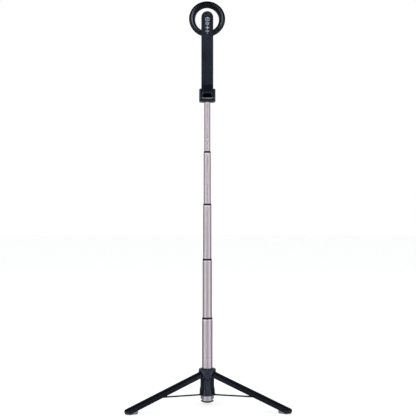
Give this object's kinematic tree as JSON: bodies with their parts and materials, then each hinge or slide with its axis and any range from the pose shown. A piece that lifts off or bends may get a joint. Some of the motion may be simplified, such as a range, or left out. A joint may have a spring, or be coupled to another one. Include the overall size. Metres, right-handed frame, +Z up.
{
  "type": "selfie stick",
  "caption": "Telescopic selfie stick standing on a folding strutted tripod, with a magnetic phone ring on a folding arm and a docked remote.",
  "frame": {"origin": "middle of the footprint on the floor", "axes": "+Z up the pole, +Y towards the rear leg and the phone, +X to the right seen from the front"},
  "size_m": [0.2622, 0.2283, 0.6642],
  "materials": {
    "stainless": "satin stainless steel",
    "guide_plastic": "dark matte guide plastic",
    "dark_plastic": "satin charcoal plastic",
    "cover_plastic": "satin charcoal plastic",
    "leg_plastic": "satin graphite plastic",
    "silver_trim": "satin anodised",
    "steel_pin": "bright turned steel",
    "black_steel": "blackened steel",
    "foot_rubber": "grey rubber",
    "pad_silicone": "black silicone rubber",
    "ring_plastic": "satin black",
    "magnet_nickel": "nickel plated",
    "remote_plastic": "dark satin gloss",
    "key_rubber": "soft dark key",
    "board_laminate": "green laminate",
    "cell_steel": "bright steel"
  },
  "bodies": {
    "base": {"tube_5": "stainless", "collar_5": "guide_plastic", "hub_casting": "dark_plastic", "column_liner": "guide_plastic", "hub_screws": "black_steel", "base_ring": "silver_trim", "end_cap": "dark_plastic", "leg_pins": "steel_pin"},
    "slider": {"slider": "dark_plastic", "slider_pins": "steel_pin"},
    "tube_4": {"tube_4": "stainless", "collar_4": "guide_plastic", "bush_4": "guide_plastic"},
    "tube_3": {"tube_3": "stainless", "collar_3": "guide_plastic", "bush_3": "guide_plastic"},
    "tube_2": {"tube_2": "stainless", "collar_2": "guide_plastic", "bush_2": "guide_plastic"},
    "tube_1": {"tube_1": "stainless", "bush_1": "guide_plastic", "top_plug": "silver_trim", "swivel_clip": "steel_pin"},
    "head": {"yoke": "dark_plastic", "hinge_axle": "steel_pin", "hinge_washers": "guide_plastic"},
    "arm": {"arm_front": "dark_plastic", "arm_back": "cover_plastic", "arm_screws": "black_steel", "dock_magnet": "magnet_nickel"},
    "ring": {"ring_housing": "ring_plastic", "ring_plate": "steel_pin", "ring_magnets": "magnet_nickel", "ring_pad": "pad_silicone", "ring_hinge_pin": "steel_pin"},
    "remote": {"remote_back": "remote_plastic", "remote_front": "remote_plastic", "coin_cell": "cell_steel", "remote_board": "board_laminate", "dome_switch": "cell_steel"},
    "button": {"shutter_button": "key_rubber"},
    "leg_left": {"leg_left": "leg_plastic", "foot_pad_left": "foot_rubber"},
    "strut_left": {"strut_left": "black_steel", "strut_pin_left": "steel_pin"},
    "leg_right": {"leg_right": "leg_plastic", "foot_pad_right": "foot_rubber"},
    "strut_right": {"strut_right": "black_steel", "strut_pin_right": "steel_pin"},
    "leg_rear": {"leg_rear": "leg_plastic", "foot_pad_rear": "foot_rubber"},
    "strut_rear": {"strut_rear": "black_steel", "strut_pin_rear": "steel_pin"}
  },
  "joints": [
    {"name": "leg_fold", "type": "hinge", "parent": "base", "child": "leg_left", "pos_m": [-0.0097, -0.04176, 0.0485], "axis": [0.5, -0.866, 0], "range_deg": [0, 71]},
    {"name": "leg_fold_right", "type": "hinge", "parent": "base", "child": "leg_right", "pos_m": [0.0097, -0.04176, 0.0485], "axis": [0.5, 0.866, 0], "range_deg": [0, 71.1]},
    {"name": "leg_fold_rear", "type": "hinge", "parent": "base", "child": "leg_rear", "pos_m": [0, -0.02497, 0.0485], "axis": [-1, 0, 0], "range_deg": [0, 71.1]},
    {"name": "slider_rise", "type": "slide", "parent": "base", "child": "slider", "axis": [0, 0, 1], "range_m": [0, 0.0186]},
    {"name": "strut_swing_left", "type": "hinge", "parent": "slider", "child": "strut_left", "pos_m": [-0.01005, -0.04197, 0.01735], "axis": [0.5, -0.866, 0], "range_deg": [0, 94.5]},
    {"name": "strut_swing_right", "type": "hinge", "parent": "slider", "child": "strut_right", "pos_m": [0.01005, -0.04197, 0.01735], "axis": [0.5, 0.866, 0], "range_deg": [0, 94.5]},
    {"name": "strut_swing_rear", "type": "hinge", "parent": "slider", "child": "strut_rear", "pos_m": [0, -0.02457, 0.01735], "axis": [-1, 0, 0], "range_deg": [0, 94.5]},
    {"name": "tube_4_slide", "type": "slide", "parent": "base", "child": "tube_4", "axis": [0, 0, -1], "range_m": [0, 0.09]},
    {"name": "tube_3_slide", "type": "slide", "parent": "tube_4", "child": "tube_3", "axis": [0, 0, -1], "range_m": [0, 0.0845]},
    {"name": "tube_2_slide", "type": "slide", "parent": "tube_3", "child": "tube_2", "axis": [0, 0, -1], "range_m": [0, 0.08]},
    {"name": "tube_1_slide", "type": "slide", "parent": "tube_2", "child": "tube_1", "axis": [0, 0, -1], "range_m": [0, 0.0775]},
    {"name": "head_pan", "type": "hinge", "parent": "tube_1", "child": "head", "pos_m": [0, -0.03617, 0.497], "axis": [0, 0, 1], "range_deg": [-120, 120]},
    {"name": "arm_fold", "type": "hinge", "parent": "head", "child": "arm", "pos_m": [0, -0.04646, 0.501], "axis": [1, 0, 0], "range_deg": [0, 180]},
    {"name": "ring_tilt", "type": "hinge", "parent": "arm", "child": "ring", "pos_m": [0, -0.02607, 0.6082], "axis": [-1, 0, 0], "range_deg": [-6, 80]},
    {"name": "remote_dock", "type": "slide", "parent": "arm", "child": "remote", "axis": [0, 1, 0], "range_m": [-0.012, 0]},
    {"name": "shutter_press", "type": "slide", "parent": "remote", "child": "button", "axis": [0, 1, 0], "range_m": [0, 0.0004], "stiffness_N_per_m": 2000, "springref_m": -0.0005}
  ],
  "couplings": [
    {"joint": "leg_fold_right", "follows": "leg_fold", "ratio": 1},
    {"joint": "leg_fold_rear", "follows": "leg_fold", "ratio": 1},
    {"joint": "slider_rise", "follows": "leg_fold", "m_per_rad": 0.014929},
    {"joint": "strut_swing_left", "follows": "leg_fold", "ratio": 1.3283},
    {"joint": "strut_swing_right", "follows": "leg_fold", "ratio": 1.3283},
    {"joint": "strut_swing_rear", "follows": "leg_fold", "ratio": 1.3283}
  ]
}
